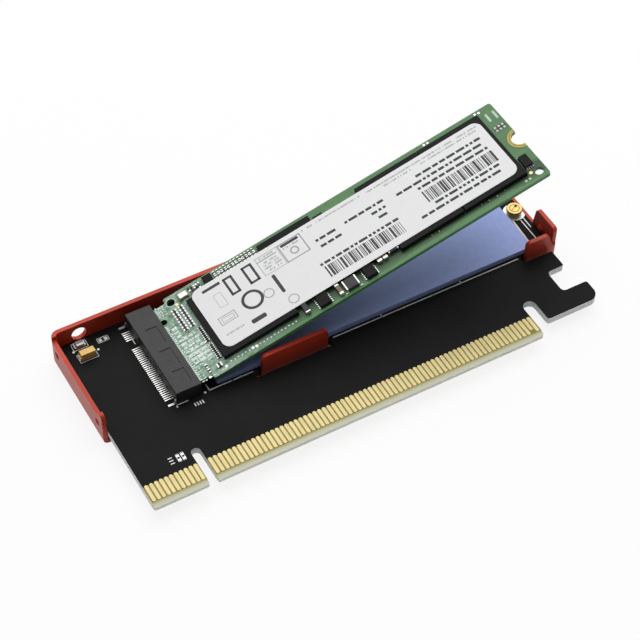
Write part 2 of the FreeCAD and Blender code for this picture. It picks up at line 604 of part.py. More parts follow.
def mount_ring():
    ring = rod(module_end, 0, 0, PAD_T, MOUNT_RING_R)
    ring = ring.cut(rod(module_end, 0, -1, 1, MOUNT_NOTCH_R))
    return ring.common(box(0, module_end - 0.05, -MODULE_W / 2, MODULE_W / 2, 0, PAD_T))


# Parts on the module's top face: (x0, x1, y0, y1) and a height where they differ
PACKAGE_H = 0.95
SMALL_H = 0.8
LABEL_T = 0.1
CONTROLLER = (6.4, 22.9, front(2.3), rear(3.7))
DRAM = (23.7, 35.5, -1.0, rear(1.25))
FLASH_1 = (46.1, 60.45, front(2.3), rear(1.6))
FLASH_2 = (60.65, 74.9, front(2.3), rear(1.6))
LABEL = (7.6, 74.1, front(3.45), rear(2.9))
LABEL_R = 1.8
CRYSTAL, CRYSTAL_H = (5.65, 7.55, rear(2.45), rear(1.2)), 0.6
BACK_REGULATOR = (11.4, 13.3, rear(2.7), rear(0.7))
POWER_IC_1 = (27.0, 29.4, front(0.7), front(3.6))
POWER_IC_2 = (37.5, 39.8, front(0.8), front(3.5))
LOAD_SWITCH = (36.05, 38.15, rear(4.7), rear(2.2))
INDUCTORS = (((24.0, 25.0, front(1.3), front(3.6)), 0.8, True),
             ((32.9, 35.8, front(0.8), front(3.1)), 0.9, False),
             ((43.7, 45.9, front(3.1), front(5.3)), 0.85, False))
INDUCTOR_END = 0.25
CAPACITORS = ((31.4, 32.2, front(0.8), front(3.4)), (41.0, 41.95, front(2.6), front(4.4)),
              (42.25, 43.2, front(2.6), front(4.4)))
CAPACITOR_END = 0.45
MEMORY_IC, MEMORY_IC_H = (75.4, 77.2, front(3.7), front(6.6)), 0.7
LEG_PITCH, LEG_W = 0.47, 0.2
PLATED_HOLE, PLATED_RING_R = (3.85, rear(1.65), 0.85), 1.02
MODULE_HOLES = (PLATED_HOLE, (77.2, front(1.8), 0.9))

# Small chip parts
CHIP_H = 0.33
CHIP = (0.95, 0.45)             # length and width
CHIP_END = 0.25                 # end's share of the length
CHIP_COLUMNS = ((3.45, rear(3.85)), (4.95, rear(3.8)))       # first place of two columns down the module
CHIP_COLUMN_STEP, CHIP_COLUMN_COUNT = 0.75, 8
CORNER_CHIPS = ((2.75, front(1.9)), (2.75, front(3.1)))
LARGE_CHIP, LARGE_CHIP_SIZE = (4.93, front(1.85)), (1.05, 0.95)
REAR_ROW_X, REAR_ROW_STEP, REAR_ROW_COUNT = 14.0, 0.8, 12
REAR_ROW_Y = (rear(1.0), rear(2.05))

# Bare plated spots
CARD_MARK = (75.7, front(2.4), 0.35)
BARS = ((76.5, rear(3.05)), (78.1, rear(3.15)))
BAR_SIZE = (0.5, 2.15)
VIA_X, VIA_Y, VIA_W, VIA_STEP = 76.2, (rear(6.9), rear(6.05)), 0.5, 0.85
SPOTS = ((4.7, rear(2.85)), (73.9, front(1.3)), (74.8, front(1.3)))
SPOT_W = 0.5


def package(place, height=PACKAGE_H):
    """Flat black package with a fine chamfer round its top."""
    body = box(*place, 0, height)
    rim = [e for e in body.Edges if e.BoundBox.ZMin > height - 1e-4]
    return body.makeChamfer(0.08, rim)


def ssd_label():
    x0, x1, y0, y1 = LABEL
    corners = [(x0, y0, LABEL_R), (x1, y0, LABEL_R), (x1, y1, LABEL_R), (x0, y1, LABEL_R)]
    return plate(corners, PACKAGE_H, PACKAGE_H + LABEL_T)


def passive_places():
    """Small chip parts: (x, y, length, width, along_y)."""
    places = [(*place, *CHIP, True) for place in CORNER_CHIPS]
    places.append((*LARGE_CHIP, *LARGE_CHIP_SIZE, False))
    for x, y in CHIP_COLUMNS:
        for i in range(CHIP_COLUMN_COUNT):
            places.append((x, y - CHIP_COLUMN_STEP * i, *CHIP, False))
    for i in range(REAR_ROW_COUNT):
        for y in REAR_ROW_Y:
            places.append((REAR_ROW_X + REAR_ROW_STEP * i, y, CHIP[0] * 0.85, CHIP[1], True))
    return places


def ssd_passives():
    bodies, ends = [], []
    for x, y, length, width, along_y in passive_places():
        dx, dy = (width, length) if along_y else (length, width)
        body, pair = chip(x - dx / 2, x + dx / 2, y - dy / 2, y + dy / 2, CHIP_H,
                          length * CHIP_END, along_y)
        bodies.append(body)
        ends.extend(pair)
    return bodies, ends


def ssd_capacitors():
    bodies, ends = [], []
    for place in CAPACITORS:
        body, pair = chip(*place, SMALL_H, CAPACITOR_END, True)
        bodies.append(body)
        ends.extend(pair)
    return bodies, ends


def ssd_inductors():
    bodies, ends = [], []
    for place, height, along_y in INDUCTORS:
        body, pair = chip(*place, height, INDUCTOR_END, along_y)
        bodies.append(body)
        ends.extend(pair)
    return bodies, ends


def memory_ic():
    """Small eight-legged chip at the module's far end, and its legs."""
    x0, x1, y0, y1 = MEMORY_IC
    body = box(x0, x1, y0, y1, 0.05, MEMORY_IC_H)
    legs = []
    for i in range(4):
        x = (x0 + x1) / 2 + (i - 1.5) * LEG_PITCH
        for face, out in ((y0, -1), (y1, 1)):
            corners = [(face, 0.3, 0), (face, 0.4, 0), (face + out * 0.18, 0.4, 0),
                       (face + out * 0.18, 0.1, 0), (face + out * 0.4, 0.1, 0),
                       (face + out * 0.4, 0, 0), (face + out * 0.08, 0, 0), (face + out * 0.08, 0.3, 0)]
            legs.append(bar_along_x(corners, x - LEG_W / 2, x + LEG_W / 2))
    return body, legs


def module_lands():
    """Bare plated spots on the module's top face."""
    lands = [centred(x, y, SPOT_W, SPOT_W, 0, PAD_T) for x, y in SPOTS]
    lands += [centred(x, y, *BAR_SIZE, 0, PAD_T) for x, y in BARS]
    for i in range(3):
        for y in VIA_Y:
            lands.append(centred(VIA_X + VIA_STEP * i, y, VIA_W, VIA_W, 0, PAD_T))
    x, y, radius = CARD_MARK
    lands.append(rod(x, y, 0, PAD_T, radius))
    x, y, radius = PLATED_HOLE
    lands.append(rod(x, y, 0, PAD_T, PLATED_RING_R).cut(rod(x, y, -1, 1, radius)))
    return lands


# ----------------------------------------------------------------------- build
save("adapter_board", adapter_board())
save("edge_contacts_top", *edge_fingers(0, FINGER_T))
save("edge_contacts_bottom", *edge_fingers(-BOARD_T - FINGER_T, -BOARD_T))
save("board_lands", *board_lands())
save("heat_tray", heat_tray())
save("thermal_pad", thermal_pad())
save("rear_thermal_pad", rear_thermal_pad())
save("standoff", standoff())
save("standoff_screw", standoff_screw())
save("socket_housing", socket_housing())
save("socket_contacts_upper", *upper_contacts())
save("socket_contacts_lower", *lower_contacts())
save("socket_hold_downs", *socket_hold_downs())
tantalum, tantalum_ends = tantalum_capacitor()
led, led_ends = status_led()
save("tantalum_capacitor", tantalum)
save("tantalum_terminals", *tantalum_ends)
save("status_led", led)
save("status_led_terminals", *led_ends)

save_on_module("ssd_board", ssd_board())
save_on_module("ssd_contacts_top", *ssd_pads(1, 0, PAD_T))
save_on_module("ssd_contacts_bottom", *ssd_pads(2, -MODULE_T - PAD_T, -MODULE_T))
save_on_module("ssd_mount_ring", mount_ring())
save_on_module("ssd_lands", *module_lands())
save_on_module("ssd_controller", package(CONTROLLER))
save_on_module("ssd_dram", package(DRAM))
save_on_module("ssd_flash_1", package(FLASH_1))
save_on_module("ssd_flash_2", package(FLASH_2))
save_on_module("ssd_label", ssd_label())
save_on_module("ssd_crystal", package(CRYSTAL, CRYSTAL_H))
save_on_module("ssd_back_regulator", package(BACK_REGULATOR, SMALL_H))
save_on_module("ssd_power_ic_1", package(POWER_IC_1, SMALL_H))
save_on_module("ssd_power_ic_2", package(POWER_IC_2, SMALL_H))
save_on_module("ssd_load_switch", package(LOAD_SWITCH, SMALL_H))
inductors, inductor_ends = ssd_inductors()
capacitors, capacitor_ends = ssd_capacitors()
passives, passive_ends = ssd_passives()
save_on_module("ssd_inductors", *inductors)
save_on_module("ssd_inductor_terminals", *inductor_ends)
save_on_module("ssd_capacitors", *capacitors)
save_on_module("ssd_capacitor_terminals", *capacitor_ends)
save_on_module("ssd_chip_parts", *passives)
save_on_module("ssd_chip_part_ends", *passive_ends)
ic_body, ic_legs = memory_ic()
save_on_module("ssd_memory_ic", ic_body)
save_on_module("ssd_memory_ic_legs", *ic_legs)
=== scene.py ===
import math
import random
import bmesh
import bpy
from mathutils import Matrix, Vector


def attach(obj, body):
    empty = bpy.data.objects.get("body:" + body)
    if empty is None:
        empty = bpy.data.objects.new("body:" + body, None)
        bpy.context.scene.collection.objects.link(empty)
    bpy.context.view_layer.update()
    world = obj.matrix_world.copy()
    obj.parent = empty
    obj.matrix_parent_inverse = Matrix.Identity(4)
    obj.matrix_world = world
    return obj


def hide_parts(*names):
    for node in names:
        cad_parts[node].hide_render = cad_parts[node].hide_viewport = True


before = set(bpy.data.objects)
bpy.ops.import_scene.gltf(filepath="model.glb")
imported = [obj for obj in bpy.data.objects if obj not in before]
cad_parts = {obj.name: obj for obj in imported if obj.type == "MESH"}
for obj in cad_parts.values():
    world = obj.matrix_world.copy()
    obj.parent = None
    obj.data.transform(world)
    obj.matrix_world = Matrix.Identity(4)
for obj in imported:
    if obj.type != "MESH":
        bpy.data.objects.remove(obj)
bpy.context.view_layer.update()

# Sizes here are in millimetres, like the model's source. The card's own frame has
# the first edge finger at x = 0, the plug-in edge at y = 0 and the component side
# at z = 0. The module's own frame starts in the socket's mouth: s runs along the
# module, v across it from its centre line, h up from its top face.
MM = 0.001
ORIGIN = Vector((48.6, 21.525, -3.5))
MOUTH = Vector((18.77, 29.93, 2.35))
TILT = math.radians(14.53)
BOARD_T = 1.57
CENTRE_Y = MOUTH.y
MODULE_HALF_W = 11.0
MODULE_END = 78.8
LABEL_TOP = 1.05

along = Vector((math.cos(TILT), 0, math.sin(TILT)))
upward = Vector((-math.sin(TILT), 0, math.cos(TILT)))


def card(x, y, z):
    return (Vector((x, y, z)) - ORIGIN) * MM


def module(s, v, h):
    return (MOUTH + along * s + Vector((0, v, 0)) + upward * h - ORIGIN) * MM


def shader_x(x):
    """A place along the card, as a shader sees it."""
    return (x - ORIGIN.x) * MM


def shader_y(y):
    """A place across the card, as a shader sees it."""
    return (y - ORIGIN.y) * MM


# --------------------------------------------------------------------- materials
class Nodes:
    """A small helper for building node trees."""

    def __init__(self, tree):
        self.tree = tree

    def add(self, kind, **values):
        node = self.tree.nodes.new(kind)
        for key, value in values.items():
            setattr(node, key, value)
        return node

    def link(self, a, b):
        self.tree.links.new(a, b)

    def math(self, operation, a, b, c=None):
        """A Math node; each of its inputs is a number or a socket."""
        node = self.add("ShaderNodeMath", operation=operation)
        for socket, value in zip(node.inputs, (a, b, c)):
            if isinstance(value, (int, float)):
                socket.default_value = value
            elif value is not None:
                self.link(value, socket)
        return node.outputs[0]

    def position(self):
        """The point's place in the object, as three sockets in metres."""
        coords = self.add("ShaderNodeTexCoord")
        split = self.add("ShaderNodeSeparateXYZ")
        self.link(coords.outputs["Object"], split.inputs[0])
        return split.outputs

    def noise(self, scale, detail=3.0, roughness=0.55, vector=None):
        node = self.add("ShaderNodeTexNoise")
        node.inputs["Scale"].default_value = scale
        node.inputs["Detail"].default_value = detail
        node.inputs["Roughness"].default_value = roughness
        self.link(vector or self.add("ShaderNodeTexCoord").outputs["Object"], node.inputs["Vector"])
        return node.outputs["Fac"]

    def stretched(self, scale):
        """Object coordinates with each axis scaled by itself."""
        node = self.add("ShaderNodeMapping")
        node.inputs["Scale"].default_value = scale
        self.link(self.add("ShaderNodeTexCoord").outputs["Object"], node.inputs["Vector"])
        return node.outputs[0]

    def ramp(self, value, stops):
        node = self.add("ShaderNodeValToRGB")
        elements = node.color_ramp.elements
        while len(elements) < len(stops):
            elements.new(0.5)
        for element, (position, color) in zip(elements, stops):
            element.position = position
            element.color = (*color, 1)
        self.link(value, node.inputs["Fac"])
        return node.outputs["Color"]

    def level(self, value, low, high, start=0.3, end=0.7):
        """The value mapped from start..end to low..high, and held there outside."""
        node = self.add("ShaderNodeMapRange")
        self.link(value, node.inputs["Value"])
        for key, number in (("From Min", start), ("From Max", end), ("To Min", low), ("To Max", high)):
            node.inputs[key].default_value = number
        return node.outputs["Result"]

    def mix(self, fac, a, b, kind="MIX"):
        node = self.add("ShaderNodeMix", data_type="RGBA", blend_type=kind)
        for socket, value in ((node.inputs[0], fac), (node.inputs[6], a), (node.inputs[7], b)):
            if isinstance(value, tuple):
                socket.default_value = (*value, 1)
            elif isinstance(value, float):
                socket.default_value = value
            else:
                self.link(value, socket)
        return node.outputs[2]

    def bump(self, shader, height, strength, distance_mm):
        node = self.add("ShaderNodeBump")
        node.inputs["Strength"].default_value = strength
        node.inputs["Distance"].default_value = distance_mm * MM
        self.link(height, node.inputs["Height"])
        self.link(node.outputs["Normal"], shader.inputs["Normal"])

    def standing(self):
        """1 on faces that stand up, 0 on the flat faces of a board."""
        split = self.add("ShaderNodeSeparateXYZ")
        self.link(self.add("ShaderNodeNewGeometry").outputs["True Normal"], split.inputs[0])
        return self.math("LESS_THAN", self.math("ABSOLUTE", split.outputs["Z"], None), 0.6)


def principled(name, roughness, metallic=0.0, specular=0.5, sheen=0.0):
    mat = bpy.data.materials.new(name)
    mat.use_nodes = True
    shader = mat.node_tree.nodes["Principled BSDF"]
    for key, value in (("Roughness", roughness), ("Metallic", metallic), ("Specular IOR Level", specular),
                       ("Sheen Weight", sheen)):
        shader.inputs[key].default_value = value
    return mat, Nodes(mat.node_tree), shader


def plain(name, color, roughness, metallic=0.0, spread=0.1, scale=900.0, bump_mm=0.008, specular=0.5,
          sheen=0.0):
    """A material whose colour, roughness and surface vary a little, at its own scale."""
    mat, n, shader = principled(name, roughness, metallic, specular, sheen)
    dark = tuple(c * (1 - spread) for c in color)
    light = tuple(min(c * (1 + spread), 1.0) for c in color)
    n.link(n.ramp(n.noise(scale, 4.0), [(0.3, dark), (0.7, light)]), shader.inputs["Base Color"])
    n.link(n.level(n.noise(scale * 4.3), roughness - 0.06, roughness + 0.06), shader.inputs["Roughness"])
    n.bump(shader, n.noise(scale * 7.1), 0.3, bump_mm)
    return mat


# The card's bare laminate: round the fingers and on the lip before them. The slots' walls, though bare
# laminate too, are painted near black as shade.
BARE_REAR, BARE_RIGHT, LIP_REAR = 4.85, 84.2, 1.15
LIP_SHADOW_START, LIP_SHADOW_END = 0.3, 1.1
SLOTS_X, SLOTS_Y, SLOTS_REACH_X, SLOTS_REACH_Y = 57.5, 19.0, 37.0, 2.5


def card_mask():
    """Black solder mask; bare laminate shows between the fingers and on the sides, but the slots' walls are
    painted near black as shade.
    """
    mat, n, shader = principled("card_mask", 0.5, specular=0.05)
    x, y, _ = n.position()
    at_fingers = n.math("MULTIPLY", n.math("LESS_THAN", y, shader_y(BARE_REAR)),
                        n.math("LESS_THAN", x, shader_x(BARE_RIGHT)))
    below_fingers = n.math("LESS_THAN", y, shader_y(LIP_REAR))
    shaded_slot_walls = n.math("MULTIPLY", n.math("COMPARE", y, shader_y(SLOTS_Y), SLOTS_REACH_Y * MM),
                      n.math("COMPARE", x, shader_x(SLOTS_X), SLOTS_REACH_X * MM))
    mask = n.ramp(n.noise(90.0), [(0.3, (0.0085, 0.0088, 0.0085)), (0.7, (0.0115, 0.0120, 0.0115))])
    grain = n.noise(2600.0)
    # Between the fingers: the bare laminate's tan, darkened with painted shade.
    between = n.ramp(grain, [(0.3, (0.270, 0.200, 0.058)), (0.7, (0.380, 0.295, 0.105))])
    # Painted shadow: the lip turns from pale laminate to a darker yellow towards the fingers, partly the
    # laminate's own tone and partly shadow under the fingers.
    lip_and_shadow = n.ramp(n.level(y, 0.0, 1.0, shader_y(LIP_SHADOW_START), shader_y(LIP_SHADOW_END)),
                 [(0.0, (0.740, 0.740, 0.620)), (0.45, (0.690, 0.690, 0.500)), (1.0, (0.500, 0.470, 0.200))])
    face = n.mix(at_fingers, mask, n.mix(below_fingers, between, lip_and_shadow))
    cream = n.ramp(n.noise(1400.0, 4.0), [(0.25, (0.880, 0.880, 0.740)), (0.75, (0.960, 0.960, 0.840))])
    grey = n.ramp(n.noise(1400.0, 4.0), [(0.25, (0.720, 0.730, 0.730)), (0.75, (0.930, 0.940, 0.940))])
    # Painted shade: the slots' walls are near black, though they are bare laminate.
    side = n.mix(shaded_slot_walls, n.mix(at_fingers, grey, cream), (0.012, 0.012, 0.012))
    n.link(n.mix(n.standing(), face, side), shader.inputs["Base Color"])
    bare = n.math("MAXIMUM", at_fingers, n.standing())
    n.link(n.level(bare, 0.5, 0.62, 0.0, 1.0), shader.inputs["Roughness"])
    n.bump(shader, n.noise(520.0, 4.0), 0.15, 0.015)
    return mat


# Along the module, the crowded copper fades out. From its front edge, a strip of the mask is darkened with
# painted shade, for the packages' shadow.
CROWDED_START, CROWDED_END = 6.4, 22.0
PAINTED_SHADE, PAINTED_SHADE_IN, PAINTED_SHADE_OUT = 0.34, (0.5, 2.0), (4.0, 5.0)


def module_mask():
    """Green solder mask: paler over the crowded copper near the socket, dark on the sides, with painted
    shade in a strip along its front edge.
    """
    mat, n, shader = principled("module_mask", 0.4, specular=0.35)
    x, y, z = n.position()
    start = (ORIGIN - MOUTH).dot(along)
    s = n.math("ADD", n.math("MULTIPLY_ADD", x, along.x / MM, start), n.math("MULTIPLY", z, along.z / MM))
    crowded = n.level(s, 1.0, 0.0, CROWDED_START, CROWDED_END)
    copper = n.noise(1500.0, 5.0, 0.65, n.stretched((0.45, 1.0, 1.0)))
    patches = n.noise(420.0, 2.0)
    open_green = n.ramp(patches, [(0.3, (0.058, 0.172, 0.054)), (0.7, (0.086, 0.225, 0.078))])
    busy_green = n.ramp(copper, [(0.36, (0.070, 0.190, 0.095)), (0.46, (0.170, 0.310, 0.200)),
                                 (0.56, (0.340, 0.460, 0.380)), (0.64, (0.130, 0.260, 0.165))])
    front_edge = shader_y(MOUTH.y - MODULE_HALF_W)
    fade_in, fade_out = ([front_edge + place * MM for place in pair] for pair in (PAINTED_SHADE_IN, PAINTED_SHADE_OUT))
    # Painted shade: the open green is darkened in a strip near the front edge, where the packages' shadow
    # falls.
    painted_shade = n.math("MAXIMUM", n.level(y, 1.0, PAINTED_SHADE, *fade_in), n.level(y, PAINTED_SHADE, 1.0, *fade_out))
    face = n.mix(crowded, n.mix(1.0, open_green, painted_shade, "MULTIPLY"), busy_green)
    edge = n.ramp(n.noise(2400.0), [(0.3, (0.040, 0.160, 0.045)), (0.7, (0.070, 0.230, 0.075))])
    n.link(n.mix(n.standing(), face, edge), shader.inputs["Base Color"])
    n.link(n.level(patches, 0.34, 0.46), shader.inputs["Roughness"])
    n.bump(shader, copper, 0.2, 0.012)
    return mat


def plated(name, color, roughness, spread=0.06):
    """Plating whose tone changes from one finger to the next, with a faint grain across it."""
    mat, n, shader = principled(name, roughness, 1.0)
    grain = n.noise(1300.0, 3.0, vector=n.stretched((2.0, 0.25, 1.0)))
    n.link(n.ramp(grain, [(0.3, tuple(c * (1 - spread) for c in color)), (0.7, color)]),
           shader.inputs["Base Color"])
    n.link(n.level(grain, roughness - 0.04, roughness + 0.04), shader.inputs["Roughness"])
    return mat


def anodised():
    """Fine satin red; cloudy in tone over a few millimetres."""
    mat, n, shader = principled("red_anodised", 0.36, specular=0.24)
    fine = n.noise(5200.0)
    tone = n.ramp(n.noise(130.0, 2.0), [(0.3, (0.480, 0.041, 0.018)), (0.7, (0.600, 0.056, 0.024))])
    n.link(n.mix(0.2, tone, n.ramp(fine, [(0.3, (0.6, 0.6, 0.6)), (0.7, (1.0, 1.0, 1.0))]), "MULTIPLY"),
           shader.inputs["Base Color"])
    n.link(n.level(fine, 0.31, 0.42), shader.inputs["Roughness"])
    n.bump(shader, fine, 0.25, 0.008)
    return mat


MAT = {
    "card_mask": card_mask(),
    "module_mask": module_mask(),
    "red_anodised": anodised(),
    "finger_gold": plated("finger_gold", (0.46, 0.395, 0.20), 0.42, 0.3),
    "ring_gold": plated("ring_gold", (0.30, 0.20, 0.055), 0.36),
    "brass": plated("brass", (0.46, 0.35, 0.13), 0.30),
    "brass_recess_shade": plated("brass_recess_shade", (0.10, 0.060, 0.020), 0.45),
    "contact": plated("contact", (0.86, 0.86, 0.84), 0.34),
    "tin": plain("tin", (0.66, 0.66, 0.65), 0.38, 0.7, 0.05, 1600.0),
    "pad_silicone": plain("pad_silicone", (0.38, 0.46, 0.86), 0.75, 0.0, 0.06, 800.0, 0.02, 0.25,
                          sheen=0.1),
    "socket_plastic": plain("socket_plastic", (0.030, 0.030, 0.032), 0.50, 0.0, 0.15, 700.0, 0.015, 0.30),
    "package": plain("package", (0.014, 0.014, 0.015), 0.50, 0.0, 0.12, 500.0, 0.012, 0.07),
    "tantalum": plain("tantalum", (0.72, 0.47, 0.11), 0.40, 0.0, 0.06, 600.0),
    "led_body": plain("led_body", (0.26, 0.22, 0.24), 0.35, 0.0, 0.04, 500.0),
    "led": plain("led", (0.88, 0.88, 0.86), 0.35, 0.0, 0.04, 500.0),
    "can": plain("can", (0.80, 0.75, 0.72), 0.34, 0.3, 0.04, 400.0),
    "can_base": plain("can_base", (0.200, 0.160, 0.085), 0.5, 0.0, 0.1, 900.0),
    "label": plain("label", (0.80, 0.80, 0.805), 0.45, 0.0, 0.012, 500.0, 0.004, 0.3),
    "print": plain("print", (0.045, 0.045, 0.05), 0.55, 0.0, 0.15, 2500.0, 0.001, 0.3),
    "print_grey": plain("print_grey", (0.36, 0.36, 0.37), 0.55, 0.0, 0.1, 2500.0, 0.001, 0.3),
    "cream": plain("cream", (0.86, 0.73, 0.50), 0.55, 0.0, 0.1, 1200.0),
    "trace_green": plain("trace_green", (0.130, 0.310, 0.130), 0.40, 0.0, 0.1, 2600.0, 0.004, 0.35),
    "bare_land": plain("bare_land", (0.50, 0.58, 0.52), 0.40, 0.0, 0.1, 2600.0, 0.004, 0.4),
    "silk": plain("silk", (0.80, 0.80, 0.79), 0.55, 0.0, 0.06, 3000.0, 0.002, 0.3),
    "pale_copper": plain("pale_copper", (0.66, 0.77, 0.70), 0.40, 0.0, 0.12, 2600.0, 0.004, 0.4),
    "cream_gold": plain("cream_gold", (0.84, 0.72, 0.34), 0.40, 0.3, 0.06, 1600.0),
    "ceramic": plain("ceramic", (0.170, 0.125, 0.070), 0.45, 0.0, 0.15, 900.0),
    "ceramic_dark": plain("ceramic_dark", (0.022, 0.020, 0.018), 0.4, 0.0, 0.15, 900.0, 0.008, 0.35),
    "ferrite": plain("ferrite", (0.034, 0.034, 0.036), 0.55, 0.0, 0.2, 900.0, 0.015, 0.35),
}


# ---------------------------------------------------------------------- geometry
def round_rect(x0, x1, y0, y1, radius, steps):
    """Corner points, counter-clockwise, of a rectangle with rounded corners."""
    radius = max(min(radius, (x1 - x0) / 2 - 1e-4, (y1 - y0) / 2 - 1e-4), 1e-4)
    points = []
    for cx, cy, start in ((x1 - radius, y0 + radius, -90), (x1 - radius, y1 - radius, 0),
                          (x0 + radius, y1 - radius, 90), (x0 + radius, y0 + radius, 180)):
        for i in range(steps + 1):
            a = math.radians(start + 90 * i / steps)
            points.append((cx + radius * math.cos(a), cy + radius * math.sin(a)))
    return points


class Piece:
    """Gathers the faces of one piece in the card's or the module's own frame."""

    def __init__(self, name, mat, place, body, slot, replaces=()):
        self.name, self.mat, self.place, self.body = name, mat, place, body
        self.slot, self.replaced = slot, replaces
        self.verts, self.faces = [], []

    def skin(self, loops):
        """A closed skin over rings of equal length, each a list of (x, y, z)."""
        count, base = len(loops[0]), len(self.verts)
        for ring in loops:
            self.verts.extend(ring)
        for k in range(len(loops) - 1):
            a, b = base + k * count, base + (k + 1) * count
            for i in range(count):
                j = (i + 1) % count
                self.faces.append((a + i, a + j, b + j, b + i))
        last = base + (len(loops) - 1) * count
        self.faces.append(tuple(base + i for i in reversed(range(count))))
        self.faces.append(tuple(last + i for i in range(count)))

    def slab(self, x0, x1, y0, y1, z0, z1, radius=0.0, bevel=0.0, steps=4):
        """A block with rounded upright corners and a softened top edge."""
        rings = [(0.0, z0), (0.0, z1 - bevel)]
        if bevel > 0:
            rings += [(bevel * 0.3, z1 - bevel * 0.3), (bevel, z1)]
        loops = []
        for inset, z in rings:
            outline = round_rect(x0 + inset, x1 - inset, y0 + inset, y1 - inset, radius - inset, steps)
            loops.append([(x, y, z) for x, y in outline])
        self.skin(loops)

    def disc(self, cx, cy, z0, z1, radius, steps=12):
        turns = [2 * math.pi * i / steps for i in range(steps)]
        self.skin([[(cx + radius * math.cos(a), cy + radius * math.sin(a), z) for a in turns]
                   for z in (z0, z1)])

    def ring(self, cx, cy, inner, outer, z0, z1, start=0.0, end=360.0, steps=36):
        """A flat ring, or part of one between two angles in degrees."""
        base = len(self.verts)
        for i in range(steps + 1):
            a = math.radians(start + (end - start) * i / steps)
            c, s = math.cos(a), math.sin(a)
            for r, z in ((inner, z0), (outer, z0), (outer, z1), (inner, z1)):
                self.verts.append((cx + r * c, cy + r * s, z))
        for k in range(steps):
            a, b = base + 4 * k, base + 4 * (k + 1)
            for i in range(4):
                j = (i + 1) % 4
                self.faces.append((a + i, b + i, b + j, a + j))
        if end - start < 360:
            last = base + 4 * steps
            self.faces.append((base, base + 1, base + 2, base + 3))
            self.faces.append((last + 3, last + 2, last + 1, last))

    def line(self, a, b, width, z0, z1):
        """A printed line between two (x, y) points, with square ends."""
        a, b = Vector(a), Vector(b)
        way = (b - a).normalized() * width / 2
        side = Vector((-way.y, way.x))
        corners = (a - way - side, b + way - side, b + way + side, a - way + side)
        self.skin([[(*p, z) for p in corners] for z in (z0, z1)])

    def box_frame(self, x0, x1, y0, y1, width, z0, z1):
        corners = ((x0, y0), (x1, y0), (x1, y1), (x0, y1))
        for i in range(4):
            self.line(corners[i], corners[(i + 1) % 4], width, z0, z1)

    def make(self):
        mesh = bpy.data.meshes.new(self.name)
        mesh.from_pydata([self.place(*v) for v in self.verts], [], self.faces)
        mesh.materials.append(MAT[self.mat])
        bm = bmesh.new()
        bm.from_mesh(mesh)
        bmesh.ops.remove_doubles(bm, verts=bm.verts, dist=1e-8)
        bmesh.ops.recalc_face_normals(bm, faces=bm.faces)
        bm.to_mesh(mesh)
        bm.free()
        obj = bpy.data.objects.new(self.name, mesh)
        bpy.context.scene.collection.objects.link(obj)
        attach(obj, self.body)
        if self.replaced:
            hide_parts(*self.replaced)


def on_module(name, mat, slot):
    return Piece(name, mat, module, "ssd_module", slot)


def on_card(name, mat, slot, replaces=()):
    return Piece(name, mat, card, "card", slot, replaces)


# ------------------------------------------------------------- carried-over nodes
DRESS = {
    "card_mask": ("adapter_board",),
    "red_anodised": ("heat_tray",),
    "pad_silicone": ("thermal_pad", "rear_thermal_pad"),
    "brass": ("standoff", "standoff_screw"),
    "socket_plastic": ("socket_housing",),
    "contact": ("socket_contacts_upper", "socket_contacts_lower"),
    "tin": ("board_lands", "socket_hold_downs", "tantalum_terminals", "status_led_terminals",
            "ssd_inductor_terminals", "ssd_capacitor_terminals", "ssd_chip_part_ends", "ssd_memory_ic_legs"),
    "tantalum": ("tantalum_capacitor",),
    "led_body": ("status_led",),
    "module_mask": ("ssd_board",),
    "finger_gold": ("edge_contacts_top", "edge_contacts_bottom", "ssd_contacts_top", "ssd_contacts_bottom"),
    "ring_gold": ("ssd_mount_ring",),
    "package": ("ssd_controller", "ssd_dram", "ssd_flash_1", "ssd_flash_2", "ssd_back_regulator",
                "ssd_power_ic_1", "ssd_power_ic_2", "ssd_load_switch", "ssd_memory_ic"),
    "bare_land": ("ssd_lands",),
    "label": ("ssd_label",),
    "can": ("ssd_crystal",),
    "ferrite": ("ssd_inductors",),
    "ceramic": ("ssd_capacitors",),
    "ceramic_dark": ("ssd_chip_parts",),
}
for mat, nodes in DRESS.items():
    for node in nodes:
        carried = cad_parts[node]
        if not carried.material_slots:
            carried.data.materials.append(MAT[mat])
        for place in carried.material_slots:
            place.material = MAT[mat]

# -------------------------------------------------------------------- edge fingers
FINGERS = [float(i) for i in range(11)] + [13.0 + i for i in range(71)]
FINGER_W, FINGER_END, FINGER_START, FINGER_T = 0.7, 5.12, 1.22, 0.05
PRESENCE_X, PRESENCE_SHORTER = 82.0, 0.8
for node, z0, z1 in (("edge_contacts_top", 0, FINGER_T),
                     ("edge_contacts_bottom", -BOARD_T - FINGER_T, -BOARD_T)):
    fingers = on_card(node.replace("contacts", "fingers"), "finger_gold", "gold_plate", (node,))
    for x in FINGERS:
        start = FINGER_START + (PRESENCE_SHORTER if x == PRESENCE_X else 0)
        fingers.slab(x - FINGER_W / 2, x + FINGER_W / 2, start, FINGER_END, z0, z1, 0.3, 0.0, 6)
    fingers.make()

# ------------------------------------------------------------------- card printing
INK, LINE, FRAME_LINE, TICK_LINE = 0.02, 0.24, 0.1, 0.22
DOT_R = 0.25
silk = on_card("card_printing", "silk", "board_mask")
